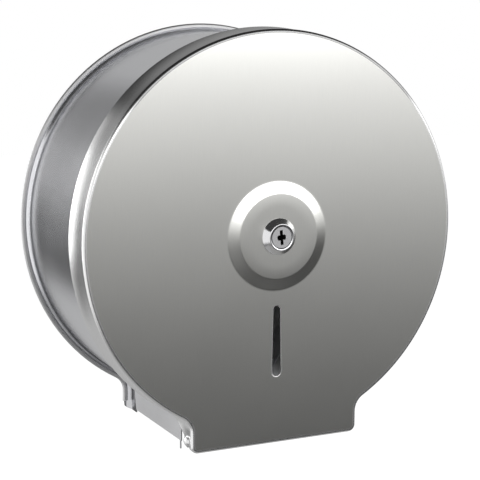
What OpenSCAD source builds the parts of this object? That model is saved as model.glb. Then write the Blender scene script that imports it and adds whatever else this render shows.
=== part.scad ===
// Jumbo toilet roll dispenser in brushed stainless steel, screwed to a wall.
// Each piece is drawn lying on its back: x to the right, y up the wall, z out from the wall,
// with the middle of the round drum at x = 0, y = 0. stand_up() turns it upright, so that in the
// finished model +Z is up, the front faces -Y and the wall is the plane Y = 0.

/* [Front cover] */
// Radius of the round part of the cover
cover_r = 135; // [125:0.5:150]
// Distance from the wall to the front face
cover_depth = 125; // [118:0.5:135]
// Thickness of the cover sheet
cover_t = 1; // [0.8:0.1:1.4]
// Outer radius of the bend between face and rim
edge_bend_r = 1.8; // [1.5:0.1:2.5]
// How far the rim reaches back from the face
rim_len = 24; // [18:0.5:28]
// Length of the flared strip along the back edge of the rim
rim_flare_len = 8; // [4:0.5:12]
// How far the flared strip opens outwards
rim_flare_out = 1; // [0:0.1:1.4]
// Half the width of the chin
chin_half_w = 62; // [55:0.5:70]
// How far the chin reaches below the round part
chin_reach = 6.3; // [4:0.1:15]
// Radius of the hollow corner where the disc runs into the chin
waist_r = 12; // [9:0.5:18]
// Radius of the two bottom corners of the chin
chin_corner_r = 5; // [3:0.5:8]
// How far the lip along the bottom of the chin is turned back
chin_lip = 5; // [3:0.5:6]

/* [Lock boss and sight slot] */
// Radius at the foot of the raised boss
boss_foot_r = 36.3; // [33:0.1:42]
// Radius of the flat crown of the boss
boss_crown_r = 28.4; // [22:0.1:31]
// Height of the crown above the face
boss_h = 2.2; // [1:0.1:3]
// Width of the sight slot at its top end
slot_top_w = 4.7; // [4.3:0.1:8]
// Width of the sight slot at its bottom end
slot_bottom_w = 6.4; // [4.3:0.1:9]
// Drop from the drum centre to the top end of the slot
slot_top_drop = 47; // [44:0.5:60]
// Drop from the drum centre to the bottom end of the slot
slot_bottom_drop = 95; // [80:0.5:115]

/* [Back plate] */
// How far the edge of the plate stands out past the round part of the cover
plate_edge = 1.4; // [0.5:0.1:3]
// How far the plate stands out past the chin on either side
plate_side = 0.4; // [0:0.1:2]
// How far the plate reaches below the chin
plate_foot = 1.2; // [0.2:0.1:3]
// Radius of the hollow corner between disc and outlet on the plate
plate_waist_r = 11; // [8:0.5:16]
// Radius of the two bottom corners of the plate
plate_corner_r = 6; // [4:0.5:9]
// Thickness of the plate sheet
plate_t = 1; // [0.8:0.1:1.5]
// Width of the hem that is folded over the flange of the drum
hem_w = 2.6; // [2.2:0.1:2.9]
// Radius of the stiffening bead pressed into the plate, at its middle
bead_r = 112; // [105:1:116]
// Width of the stiffening bead
bead_w = 9; // [6:0.5:12]
// Height of the stiffening bead
bead_h = 1.8; // [1:0.1:3]
// Diameter of the wall screw holes
screw_hole_d = 7; // [5:0.5:9]
// Distance between the wall screw holes from left to right
screw_pitch_x = 150; // [120:1:156]
// Distance between the wall screw holes from top to bottom
screw_pitch_y = 110; // [90:1:120]

/* [Drum] */
// How far the drum wall stands inside the edge of the back plate
wall_inset = 5.4; // [5:0.1:7]
// Thickness of the drum sheet
drum_t = 0.8; // [0.6:0.1:1.2]
// Radius of the hollow flare where the drum wall runs out to the plate
drum_flare_r = 6.2; // [5:0.1:8]
// Space between the front of the drum and the inside of the cover
drum_front_gap = 2.6; // [2:0.1:5]
// Width of the lip turned inwards along the front of the drum
front_lip_w = 6; // [4:0.5:9]
// Outer radius of the bend of the front lip
front_lip_r = 2; // [1.4:0.1:3]
// How far above the foot of the drum wall its front begins to be cut back
cutback_rise = 21.6; // [16:0.1:28]

/* [Paper outlet] */
// How far the cheeks end above the bottom of the chin
cheek_rise = 0.7; // [0.2:0.1:2]
// Distance from the wall to the front edge of the cheeks
cheek_front = 96; // [92:0.5:99]
// Distance from the wall to the seam behind the cheek, at its top
seam_top = 8; // [7.5:0.5:12]
// Distance from the wall to the seam behind the cheek, at its bottom
seam_bottom = 14; // [9:0.5:20]
// Width of the open seam behind the cheek
seam_gap = 0.4; // [0.2:0.1:0.8]
// Thickness of the tear blades
blade_t = 0.8; // [0.6:0.1:1.2]
// How far the teeth of the tear blades stand out below the cheeks
blade_show = 0.5; // [0.2:0.1:1.5]
// Distance from the wall to the back end of the tear blades
blade_back = 24; // [18:0.5:40]
// How far the front end of the tear blades stays behind the front edge of the cheeks
blade_setback = 3; // [1:0.5:10]
// Height of the teeth
tooth_h = 2.6; // [1.5:0.1:3]
// Distance from one tooth to the next
tooth_pitch = 4; // [3:0.1:6]
// How far the finger at the front end of a tear blade reaches below the cheek
finger_drop = 6.4; // [4:0.1:9]
// Width of that finger
finger_w = 1.2; // [1:0.1:4]

/* [Cover hinge] */
// How far the hinge pins sit behind the front face
pin_setback = 7.4; // [7:0.1:9]
// How far the hinge pins sit above the bottom of the chin
pin_rise = 7.5; // [7.2:0.1:9]
// Diameter of the hinge pins
pin_d = 4; // [3:0.1:4.5]
// Running gap round a hinge pin
pin_gap = 0.05; // [0.02:0.01:0.1]
// Radius of the rounded ear of the cover round its pin
ear_r = 4.4; // [4.1:0.1:4.8]
// Slit between an ear and the lip along the bottom of the chin
ear_relief = 0.4; // [0.2:0.1:1]
// Diameter of the domed head of a hinge pin
pin_head_d = 7.6; // [6.5:0.1:9]
// Height of the domed head of a hinge pin
pin_head_h = 2.2; // [1.5:0.1:3]
// Thickness of the hinge bracket sheet
bracket_t = 1.2; // [1:0.1:2]
// Sideways play on each side of an ear
ear_play = 0.1; // [0.05:0.05:0.2]
// How far the cover swings open, in degrees
open_angle = 105; // [95:1:108]

/* [Spindle] */
// Outer diameter of the spindle tube that carries the paper core
tube_d = 38; // [36:0.5:44]
// Wall thickness of the spindle tube
tube_t = 1.2; // [1:0.1:1.5]
// Diameter of the foot flange of the spindle
foot_d = 74; // [62:1:90]
// Height of the spigot of the foot inside the tube
foot_h = 15; // [10:0.5:25]
// Thickness of the foot flange sheet
foot_t = 1.5; // [1:0.1:2]
// Thickness of the keeper plate at the front of the spindle
keeper_t = 1.2; // [1:0.1:2]
// Space round the lock barrel in the hole of the keeper plate
keeper_clear = 1.3; // [0.8:0.1:2]

/* [Lock] */
// Diameter of the bezel where it lies on the boss
bezel_d = 24.5; // [23:0.1:28]
// Diameter of the front of the bezel
bezel_front_d = 18.4; // [17.5:0.1:20]
// Height of the bezel
bezel_h = 4.6; // [3:0.1:6]
// Diameter of the lock barrel
barrel_d = 19; // [18:0.1:20]
// Width across the two flats of the barrel
barrel_flats = 16.6; // [16:0.1:17.4]
// Length of the barrel behind the bezel
barrel_len = 20; // [17:0.5:22]
// Diameter of the turning plug
plug_d = 14.8; // [14:0.1:15.2]
// Running gap round the plug
plug_gap = 0.05; // [0.02:0.01:0.1]
// Width of the keyway
keyway_w = 2.1; // [1.5:0.1:2.6]
// Height of the keyway
keyway_h = 9.4; // [8:0.1:10]
// Width across the two wings of the keyway
keyway_wing_w = 6.2; // [4.5:0.1:7]
// Width across the flats of the lock nut
nut_af = 24; // [22:0.5:27]
// Height of the lock nut
nut_h = 4.5; // [3:0.5:6]
// Thickness of the spring washer under the lock nut
washer_t = 1.2; // [0.8:0.1:1.6]
// Space between the tip of the cam and the bore of the spindle tube
cam_tip_gap = 2; // [1.8:0.1:3.5]
// Space round the cam where it passes the slot of the keeper plate
cam_pass = 0.9; // [0.6:0.1:1.2]
// Width of the cam
cam_w = 12; // [10:0.1:13]
// Thickness of the cam
cam_t = 2.4; // [2:0.1:3]
// Space between the cam and the keeper plate in front of it
cam_gap = 1; // [0.6:0.1:1.5]

/* [Hidden] */
$fn = 128;
// Far enough past a surface for a clean cut
past = 1;
// Finer than this, two faces count as touching
seat = 0.05;

// Chin and back plate follow from the round part of the cover
chin_drop = cover_r + chin_reach;
plate_r = cover_r + plate_edge;
plate_half_w = chin_half_w + plate_side;
plate_drop = chin_drop + plate_foot;

// Wall of the drum, and of the cheeks that carry it down beside the outlet
drum_r = plate_r - wall_inset;
drum_half_w = plate_half_w - wall_inset;
drum_waist_r = plate_waist_r + wall_inset;
drum_front = cover_depth - cover_t - drum_front_gap;
flange_tuck = 1.2;
flare_depth = sqrt(pow(drum_flare_r, 2) - pow(drum_flare_r - (wall_inset - hem_w), 2));
flare_front = plate_t + drum_t + flare_depth;
drum_foot_y = -drum_r * sin(waist_angle(drum_r, drum_half_w, drum_waist_r));
cheek_drop = chin_drop - cheek_rise;

// Hinge axis, in side view
pin_z = cover_depth - pin_setback;
pin_y = pin_rise - chin_drop;
bracket_x = drum_half_w - drum_t;
ear_x = chin_half_w - cover_t;

// Lock and spindle, from front to back along the lock axis
crown_z = cover_depth + boss_h;
bezel_front_z = crown_z + bezel_h;
barrel_back_z = crown_z - barrel_len;
cam_front_z = barrel_back_z - 0.2;
cam_back_z = cam_front_z - cam_t;
tube_front_z = cam_front_z + cam_gap;
tube_bore_r = tube_d / 2 - tube_t;
cam_reach = tube_bore_r - cam_tip_gap;
tail_w = 7;
tail_bore_d = 4;

// ---- Drawing helpers ----

module stand_up() {
    rotate([90, 0, 0]) children();
}

// Mirrors a right-hand piece to the left when side is -1
module on_side(side) {
    if (side < 0) mirror([1, 0, 0]) children();
    else children();
}

// Points along an arc, from one angle to another
function arc(centre, r, from, to, steps = 10) = [for (i = [0:steps])
    centre + r * [cos(from + (to - from) * i / steps), sin(from + (to - from) * i / steps)]];

// A plate seen from the side: the outline is drawn with x = distance from the wall and y = height,
// and the plate fills the space from x_in to x_out
module side_plate(x_in, x_out) {
    translate([x_out, 0, 0]) rotate([0, -90, 0]) linear_extrude(x_out - x_in) children();
}

// Angle below the horizontal at which a disc runs into its hollow waist corner
function waist_angle(r, half_w, corner) = acos((half_w + corner) / (r + corner));

// Height of the middle of the hollow waist corner
function waist_y(r, half_w, corner) = -(r + corner) * sin(waist_angle(r, half_w, corner));

// Flat outline shared by cover and plate: a disc that runs through two hollow corners into a chin
module keyhole_outline(r, half_w, corner, drop, foot_r) {
    waist = waist_angle(r, half_w, corner);
    mid_y = waist_y(r, half_w, corner);
    difference() {
        union() {
            circle(r);
            polygon([[-half_w, -drop + foot_r], [half_w, -drop + foot_r], [half_w, mid_y],
                [r * cos(waist), -r * sin(waist)], [-r * cos(waist), -r * sin(waist)], [-half_w, mid_y]]);
            translate([foot_r - half_w, -drop]) square([2 * (half_w - foot_r), foot_r]);
            for (s = [-1, 1]) translate([s * (half_w - foot_r), foot_r - drop]) circle(foot_r);
        }
        for (s = [-1, 1]) translate([s * (half_w + corner), mid_y]) circle(corner);
    }
}

// The three sweeps below carry a wall section along that outline. The section is drawn with
// x = distance inwards from the outline and y = distance from the wall. In the hollow corner the sheet
// is drawn a hair thinner all round and enters both neighbours like a tenon, so that they fuse cleanly.
tenon_inset = 0.03;
tenon_len = 0.3;

module sweep_disc(r, half_w, corner) {
    waist = waist_angle(r, half_w, corner);
    rotate([0, 0, -waist]) rotate_extrude(angle = 180 + 2 * waist) translate([r, 0]) mirror([1, 0]) children();
}

module sweep_waist(r, half_w, corner) {
    waist = waist_angle(r, half_w, corner);
    tenon = tenon_len / corner * 180 / PI;
    translate([half_w + corner, waist_y(r, half_w, corner), 0]) rotate([0, 0, 180 - waist - tenon])
        rotate_extrude(angle = waist + 2 * tenon) translate([corner, 0]) children();
}

module sweep_side(r, half_w, corner, drop) {
    translate([half_w, -drop, 0]) rotate([90, 0, 180])
        linear_extrude(drop + waist_y(r, half_w, corner)) children();
}

// Straight run of the section along the bottom edge, with its two rounded corners
module sweep_bottom(half_w, drop, foot_r) {
    translate([foot_r - half_w, -drop, 0]) rotate([90, 0, 90]) linear_extrude(2 * (half_w - foot_r)) children();
    for (s = [-1, 1]) on_side(s) translate([half_w - foot_r, foot_r - drop, 0]) rotate([0, 0, -90])
        rotate_extrude(angle = 90) translate([foot_r, 0]) mirror([1, 0]) children();
}

// Bar with flats, as cast on a lock barrel
module barrel_outline(d, flats) {
    intersection() {
        circle(d = d);
        square([flats, d + past], center = true);
    }
}

// ---- Base: what stays on the wall ----

// Section of the hem: the plate edge is folded over the flange of the drum
module hem_section(inset = 0) {
    fold_r = plate_t + drum_t / 2;
    difference() {
        union() {
            intersection() {
                translate([fold_r, fold_r]) circle(fold_r - inset, $fn = 48);
                square([fold_r, 2 * fold_r]);
            }
            translate([fold_r, inset]) square([hem_w - fold_r - inset, 2 * (fold_r - inset)]);
        }
        translate([flange_tuck - inset, plate_t - inset]) square([hem_w, drum_t + 2 * inset]);
    }
}

// Height of a pressed bead above its sheet, across its width, from 0 at one edge to 1 at the other
function bead_rise(across) = bead_h * (1 - cos(360 * across)) / 2;
bead_steps = 16;

module back_plate() color("lightgray") stand_up() {
    fold_r = plate_t + drum_t / 2;
    difference() {
        union() {
            linear_extrude(plate_t) difference() {
                keyhole_outline(plate_r - fold_r, plate_half_w - fold_r, plate_waist_r + fold_r,
                    plate_drop, plate_corner_r - fold_r);
                difference() {
                    circle(bead_r + bead_w / 2);
                    circle(bead_r - bead_w / 2);
                }
            }
            rotate_extrude() translate([bead_r - bead_w / 2, 0]) polygon(concat(
                [for (i = [0:bead_steps]) [bead_w * i / bead_steps, bead_rise(i / bead_steps)]],
                [for (i = [bead_steps:-1:0]) [bead_w * i / bead_steps, plate_t + bead_rise(i / bead_steps)]]));
            sweep_disc(plate_r, plate_half_w, plate_waist_r) hem_section();
            for (s = [-1, 1]) on_side(s) {
                sweep_waist(plate_r, plate_half_w, plate_waist_r) hem_section(tenon_inset);
                sweep_side(plate_r, plate_half_w, plate_waist_r, plate_drop - plate_corner_r) hem_section();
            }
        }
        for (sx = [-1, 1], sy = [-1, 1])
            translate([sx * screw_pitch_x / 2, sy * screw_pitch_y / 2, -past])
                cylinder(d = screw_hole_d, h = plate_t + 2 * past);
    }
}

// Flat flange of the drum under the hem, round the whole outline
module drum_flange() {
    edge = flange_tuck + seat;
    root = flange_tuck + 1;
    translate([0, 0, plate_t]) linear_extrude(drum_t) difference() {
        keyhole_outline(plate_r - edge, plate_half_w - edge, plate_waist_r + edge,
            plate_drop, plate_corner_r - edge);
        keyhole_outline(plate_r - root, plate_half_w - root, plate_waist_r + root,
            plate_drop + plate_r, plate_corner_r);
    }
}

// Section of the drum sheet: root of that flange, hollow flare, straight wall up to the given front,
// and there a lip turned inwards, or a plain edge where lip is 0
module drum_section(front, lip, inset = 0) {
    flare_mid = [-drum_flare_r, flare_front];
    outer_r = drum_flare_r + inset;
    inner_r = drum_flare_r + drum_t - inset;
    root_x = flange_tuck + 0.5 - wall_inset;
    root_z = plate_t + inset;
    root_front_z = plate_t + drum_t - inset;
    lip_mid = [front_lip_r, front - front_lip_r];
    polygon(concat([[root_x, root_z], [root_x, root_front_z]],
        arc(flare_mid, outer_r, -asin((flare_front - root_front_z) / outer_r), 0),
        lip > 0 ? arc(lip_mid, front_lip_r, 180, 90) : [[inset, front]],
        lip > 0 ? [[lip, front], [lip, front - drum_t]] : [[drum_t - inset, front]],
        lip > 0 ? arc(lip_mid, front_lip_r - drum_t, 90, 180) : [],
        arc(flare_mid, inner_r, 0, -asin((flare_front - root_z) / inner_r))));
}

// Side view of what is cut from the front of the drum so that the cover can swing past it
module cutback() {
    cutback_y = drum_foot_y + cutback_rise;
    polygon([[cheek_front, drum_foot_y - drum_r], [cheek_front, drum_foot_y], [drum_front, cutback_y],
        [drum_front + past, cutback_y], [drum_front + past, drum_foot_y - drum_r]]);
}

// Side view of the space in front of the slanting seam, moved forwards by gap
module before_seam(gap) {
    slant = (seam_bottom - seam_top) / (cheek_drop + drum_foot_y);
    over = 5;
    polygon([[seam_top + gap - slant * over, drum_foot_y + over], [drum_front, drum_foot_y + over],
        [drum_front, -cheek_drop - over], [seam_bottom + gap + slant * over, -cheek_drop - over]]);
}

// Flared strip that the drum sheet carries down behind each cheek, as far as the seam
module leg_strip() {
    front = seam_bottom + 2;
    intersection() {
        difference() {
            union() {
                sweep_waist(drum_r, drum_half_w, drum_waist_r) drum_section(front, 0, tenon_inset);
                sweep_side(drum_r, drum_half_w, drum_waist_r, plate_drop + past) drum_section(front, 0);
            }
            side_plate(0, drum_r) before_seam(0);
        }
        linear_extrude(cover_depth) keyhole_outline(plate_r, plate_half_w - flange_tuck / 2, plate_waist_r,
            plate_drop, plate_corner_r - flange_tuck / 2);
    }
}

module drum_band() color("silver") stand_up() {
    drum_flange();
    difference() {
        sweep_disc(drum_r, drum_half_w, drum_waist_r) drum_section(drum_front, front_lip_w);
        side_plate(-drum_r - past, drum_r + past) cutback();
    }
    for (s = [-1, 1]) on_side(s) leg_strip();
}

// Flat side of the paper outlet, bent outwards at its top to meet the end of the drum wall
module cheek(side) color("silver") stand_up() on_side(side) {
    waist = waist_angle(drum_r, drum_half_w, drum_waist_r);
    mid = [drum_half_w + drum_waist_r, waist_y(drum_r, drum_half_w, drum_waist_r)];
    intersection() {
        translate([0, 0, flare_front]) linear_extrude(cheek_front - flare_front) polygon(concat(
            arc(mid, drum_waist_r, 180 - waist, 180), [[drum_half_w, -cheek_drop], [bracket_x, -cheek_drop]],
            arc(mid, drum_waist_r + drum_t, 180, 180 - waist)));
        side_plate(0, drum_r) before_seam(seam_gap);
    }
}

module left_cheek() cheek(-1);
module right_cheek() cheek(1);

// Arm from the inside of the cheek to the hinge pin. Its underside stops the cover: at full swing the
// lip along the bottom of the chin comes to rest stop_gap short of it.
boss_r = ear_r + 1;
lip_r = norm([pin_setback - chin_lip, pin_rise]);
lip_angle = atan2(pin_setback - chin_lip, pin_rise);
heel_past = 1.8;
heel_r = lip_r + heel_past;
stop_gap = 0.3;
heel_angle = open_angle - lip_angle + stop_gap / heel_r * 180 / PI;
bracket_root = 22;
bracket_top = pin_y + boss_r;
bracket_bottom = pin_y - heel_r * cos(heel_angle);
blade_under_bracket = 0.5;

module hinge_bracket(side) color("darkgray") stand_up() on_side(side) {
    root_z = cheek_front - bracket_root;
    difference() {
        side_plate(bracket_x - bracket_t, bracket_x) polygon(concat([[root_z, bracket_top]],
            arc([pin_z, pin_y], boss_r, 90, -90 - heel_angle, 28),
            [[pin_z - heel_r * sin(heel_angle), bracket_bottom], [root_z, bracket_bottom]]));
        translate([bracket_x - bracket_t - past, pin_y, pin_z]) rotate([0, 90, 0])
            cylinder(d = pin_d + 2 * pin_gap, h = bracket_t + 2 * past, $fn = 48);
    }
}

module left_hinge_bracket() hinge_bracket(-1);
module right_hinge_bracket() hinge_bracket(1);

// Serrated strip welded inside a cheek, along its bottom edge, because the paper hangs edge-on to the
// front. Its front end is turned down into a finger that keeps the paper on the teeth.
module tear_blade(side) color("gray") stand_up() on_side(side) {
    blade_top = bracket_bottom - blade_under_bracket;
    root_y = tooth_h - cheek_drop - blade_show;
    front = cheek_front - blade_setback;
    teeth = floor((front - finger_w - blade_back) / tooth_pitch);
    side_plate(bracket_x - blade_t, bracket_x) polygon(concat(
        [[blade_back, root_y], [blade_back, blade_top], [front, blade_top],
            [front, -cheek_drop - finger_drop], [front - finger_w, -cheek_drop - finger_drop],
            [front - finger_w, root_y]],
        [for (i = [0:teeth - 1], half = [1, 2])
            [front - finger_w - (i + half / 2) * tooth_pitch, half == 1 ? root_y - tooth_h : root_y]]));
}

module left_tear_blade() tear_blade(-1);
module right_tear_blade() tear_blade(1);

// Nylon spacer between bracket and ear
module hinge_spacer(side) color("whitesmoke") stand_up() on_side(side) {
    translate([bracket_x, pin_y, pin_z]) rotate([0, 90, 0]) difference() {
        cylinder(d = pin_head_d, h = ear_x - ear_play - bracket_x, $fn = 48);
        translate([0, 0, -past]) cylinder(d = pin_d + 2 * pin_gap, h = ear_x - bracket_x + 2 * past, $fn = 48);
    }
}

module left_hinge_spacer() hinge_spacer(-1);
module right_hinge_spacer() hinge_spacer(1);

// Rivet that the ear of the cover turns on, with a domed head outside and a clenched tail inside
module hinge_pin(side) color("gainsboro") stand_up() on_side(side) {
    head_x = chin_half_w + ear_play;
    tail_x = bracket_x - bracket_t;
    tail_t = 1.2;
    dome_r = (pow(pin_head_d / 2, 2) + pow(pin_head_h, 2)) / (2 * pin_head_h);
    translate([0, pin_y, pin_z]) rotate([0, 90, 0]) {
        translate([0, 0, tail_x - tail_t]) cylinder(d = pin_d, h = head_x - tail_x + tail_t + seat, $fn = 48);
        translate([0, 0, tail_x - tail_t]) cylinder(d1 = pin_d + 1, d2 = pin_d + 2.4, h = tail_t, $fn = 48);
        intersection() {
            translate([0, 0, head_x + pin_head_h - dome_r]) sphere(dome_r, $fn = 96);
            translate([0, 0, head_x]) cylinder(d = pin_head_d + past, h = pin_head_h + past, $fn = 48);
        }
    }
}

module left_hinge_pin() hinge_pin(-1);
module right_hinge_pin() hinge_pin(1);

// Pressed foot, welded to the middle of the plate, with a spigot inside the tube
module spindle_foot() color("darkgray") stand_up() {
    spigot_r = tube_bore_r - seat;
    translate([0, 0, plate_t]) difference() {
        union() {
            cylinder(d = foot_d, h = foot_t);
            cylinder(r = spigot_r, h = foot_h);
        }
        translate([0, 0, -past]) cylinder(r = spigot_r - foot_t, h = foot_h + 2 * past);
    }
}

// Tube that the paper core turns on
module spindle_tube() color("silver") stand_up() {
    tube_back_z = plate_t + foot_t;
    translate([0, 0, tube_back_z]) difference() {
        cylinder(d = tube_d, h = tube_front_z - tube_back_z);
        translate([0, 0, -past]) cylinder(r = tube_bore_r, h = tube_front_z + past);
    }
}

// End plate welded on the tube: the cam passes its slot one way up and is caught behind it when turned
module lock_keeper() color("darkgray") stand_up() {
    slot_half_w = cam_w / 2 + cam_pass;
    slot_drop = cam_reach + cam_pass;
    translate([0, 0, tube_front_z]) linear_extrude(keeper_t) difference() {
        circle(d = tube_d);
        circle(barrel_d / 2 + keeper_clear);
        translate([-slot_half_w, -slot_drop]) square([2 * slot_half_w, slot_drop]);
    }
}

// ---- Front cover and what rides on it ----

// Outer and inner side of the bend between face and rim, with a flat edge strip that laps the face
edge_lap = 0.5;
bend_mid = [edge_bend_r, cover_depth - edge_bend_r];
function bend_outside(inset) = concat([[edge_bend_r + edge_lap, cover_depth - inset]],
    arc(bend_mid, edge_bend_r - inset, 90, 180));
function bend_inside(inset) = concat(arc(bend_mid, edge_bend_r - cover_t + inset, 180, 90),
    [[edge_bend_r + edge_lap, cover_depth - cover_t + inset]]);

// One side of the rim behind the bend, at distance x: straight, then flaring outwards to its back edge
function rim_side(x) = [for (i = [0:flare_steps]) let (t = i / flare_steps)
    [x - rim_flare_out * t * t, cover_depth - rim_len + rim_flare_len * (1 - t)]];
flare_steps = 8;

function backwards(points) = [for (i = [len(points) - 1:-1:0]) points[i]];

module rim_section(inset = 0) {
    polygon(concat(bend_outside(inset), rim_side(inset), backwards(rim_side(cover_t - inset)), bend_inside(inset)));
}

// Section along the bottom of the chin: the same bend with a short straight lip
module chin_lip_section() {
    lip_z = cover_depth - chin_lip;
    polygon(concat(bend_outside(0), [[0, lip_z], [cover_t, lip_z]], bend_inside(0)));
}

// Rise of the boss, from 0 at its foot to 1 at its crown, with softly rounded edges
boss_soft = 0.24;
function boss_rise(s) = (s < boss_soft ? s * s / (2 * boss_soft)
    : s < 1 - boss_soft ? s - boss_soft / 2
    : 1 - boss_soft - pow(1 - s, 2) / (2 * boss_soft)) / (1 - boss_soft);
boss_steps = 20;

module boss_shell() {
    slope_w = boss_foot_r - boss_crown_r;
    rim = [for (i = [0:boss_steps]) [boss_foot_r - slope_w * i / boss_steps,
        cover_depth + boss_h * boss_rise(i / boss_steps)]];
    rotate_extrude() polygon(concat([[boss_foot_r + edge_lap, cover_depth]], rim,
        [[0, crown_z], [0, crown_z - cover_t]], [for (i = [boss_steps:-1:0]) rim[i] - [0, cover_t]],
        [[boss_foot_r + edge_lap, cover_depth - cover_t]]));
}

// Front of an ear below the chin's side, where the slit parts it from the lip
ear_front = cover_depth - chin_lip - ear_relief;

// Side view of what is cut from the rim beside the chin, which leaves a rounded ear round each pin
module ear_cut() {
    rim_back = cover_depth - rim_len;
    shoulder_y = -cover_r * sin(waist_angle(cover_r, chin_half_w, waist_r)) + 2;
    ear_back = pin_z - ear_r;
    neck = [rim_back + 0.28 * (ear_back - rim_back), pin_y + 2.2 * ear_r];
    difference() {
        polygon([[rim_back - past, shoulder_y], [rim_back, shoulder_y], neck, [ear_back, pin_y + ear_r / 2],
            [ear_back, pin_y], [ear_front, pin_y], [ear_front, -chin_drop - past],
            [rim_back - past, -chin_drop - past]]);
        translate([pin_z, pin_y]) circle(ear_r, $fn = 64);
    }
}

// Flat blank that the lower half of an ear is cut from
module ear_blank() {
    ear_back = pin_z - ear_r - past;
    side_plate(chin_half_w - cover_t, chin_half_w) translate([ear_back, pin_y - ear_r - past])
        square([ear_front - ear_back, ear_r + past]);
}

module sight_slot() {
    top_centre = -slot_top_drop - slot_top_w / 2;
    bottom_centre = -slot_bottom_drop + slot_bottom_w / 2;
    translate([0, top_centre]) circle(d = slot_top_w, $fn = 48);
    translate([0, bottom_centre]) circle(d = slot_bottom_w, $fn = 48);
    polygon([[-slot_top_w / 2, top_centre], [slot_top_w / 2, top_centre],
        [slot_bottom_w / 2, bottom_centre], [-slot_bottom_w / 2, bottom_centre]]);
}

module front_cover() color("gainsboro") stand_up() {
    inset = edge_bend_r + edge_lap / 2;
    difference() {
        union() {
            translate([0, 0, cover_depth - cover_t]) linear_extrude(cover_t) difference() {
                keyhole_outline(cover_r - inset, chin_half_w - inset, waist_r + inset,
                    chin_drop - inset, chin_corner_r - inset);
                circle(boss_foot_r + edge_lap / 2);
            }
            boss_shell();
            sweep_disc(cover_r, chin_half_w, waist_r) rim_section();
            for (s = [-1, 1]) on_side(s) {
                sweep_waist(cover_r, chin_half_w, waist_r) rim_section(tenon_inset);
                sweep_side(cover_r, chin_half_w, waist_r, chin_drop - chin_corner_r) rim_section();
            }
            sweep_bottom(chin_half_w, chin_drop, chin_corner_r) chin_lip_section();
            for (s = [-1, 1]) on_side(s) ear_blank();
        }
        side_plate(-cover_r, cover_r) ear_cut();
        translate([-cover_r, pin_y, pin_z]) rotate([0, 90, 0])
            cylinder(d = pin_d + 2 * pin_gap, h = 2 * cover_r, $fn = 48);
        translate([0, 0, cover_depth - cover_t - past]) linear_extrude(cover_t + 2 * past) sight_slot();
        translate([0, 0, crown_z - cover_t - past]) linear_extrude(cover_t + 2 * past)
            barrel_outline(barrel_d + 2 * seat, barrel_flats + 2 * seat);
    }
}

// Cast barrel with its chromed bezel
module lock_barrel() color("whitesmoke") stand_up() {
    bezel_foot = 0.7;
    bore_r = plug_d / 2 + plug_gap;
    difference() {
        union() {
            translate([0, 0, crown_z]) rotate_extrude() polygon([[0, 0], [bezel_d / 2, 0],
                [bezel_d / 2, bezel_foot], [bezel_front_d / 2, bezel_h - 0.2],
                [bezel_front_d / 2 - 0.2, bezel_h], [0, bezel_h]]);
            translate([0, 0, barrel_back_z]) linear_extrude(barrel_len) barrel_outline(barrel_d, barrel_flats);
        }
        translate([0, 0, barrel_back_z - past]) cylinder(r = bore_r, h = barrel_len + bezel_h + 2 * past);
    }
}

module lock_washer() color("silver") stand_up() {
    translate([0, 0, crown_z - cover_t - washer_t]) difference() {
        cylinder(d = nut_af + 1, h = washer_t);
        translate([0, 0, -past]) cylinder(d = barrel_d + 2 * seat, h = washer_t + 2 * past);
    }
}

module lock_nut() color("silver") stand_up() {
    translate([0, 0, crown_z - cover_t - washer_t - nut_h]) difference() {
        cylinder(d = nut_af / cos(30), h = nut_h, $fn = 6);
        translate([0, 0, -past]) cylinder(d = barrel_d + 2 * seat, h = nut_h + 2 * past);
    }
}

// ---- What turns with the key ----

module keyway_outline() {
    wing_h = keyway_w * 1.5;
    square([keyway_w, keyway_h], center = true);
    intersection() {
        circle(d = keyway_wing_w, $fn = 48);
        square([keyway_wing_w, wing_h], center = true);
    }
}

module lock_plug() color("white") stand_up() {
    face_z = bezel_front_z - 0.3;
    keyway_depth = 12;
    tail_back_z = cam_back_z - 0.4;
    difference() {
        union() {
            translate([0, 0, barrel_back_z]) cylinder(d = plug_d, h = face_z - barrel_back_z);
            translate([-tail_w / 2, -tail_w / 2, tail_back_z]) cube([tail_w, tail_w, barrel_back_z - tail_back_z + seat]);
        }
        translate([0, 0, face_z - keyway_depth]) linear_extrude(keyway_depth + past) keyway_outline();
        translate([0, 0, tail_back_z - past]) cylinder(d = tail_bore_d, h = 8 + past, $fn = 32);
    }
}

// Tongue on the tail of the plug; it points down while the lock is open
module lock_cam() color("darkgray") stand_up() {
    hub_r = cam_w / 2 + 1;
    translate([0, 0, cam_back_z]) linear_extrude(cam_t) difference() {
        union() {
            circle(hub_r);
            intersection() {
                translate([-cam_w / 2, -cam_reach]) square([cam_w, cam_reach]);
                circle(cam_reach);
            }
        }
        square(tail_w + 2 * seat, center = true);
    }
}

cam_washer_t = 0.8;

module cam_washer() color("silver") stand_up() {
    translate([0, 0, cam_back_z - 0.4 - cam_washer_t]) difference() {
        cylinder(d = tail_w * 1.7, h = cam_washer_t);
        translate([0, 0, -past]) cylinder(d = tail_bore_d, h = cam_washer_t + 2 * past, $fn = 32);
    }
}

module cam_screw() color("gray") stand_up() {
    head_h = 3;
    head_front_z = cam_back_z - 0.4 - cam_washer_t;
    difference() {
        union() {
            translate([0, 0, head_front_z - head_h]) cylinder(d = 8 / cos(30), h = head_h, $fn = 6);
            translate([0, 0, head_front_z - seat]) cylinder(d = tail_bore_d - 2 * seat, h = 8, $fn = 32);
        }
        translate([0, 0, head_front_z - head_h - past]) linear_extrude(past + 1.2) {
            square([5.6, 1], center = true);
            square([1, 5.6], center = true);
        }
    }
}

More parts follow.
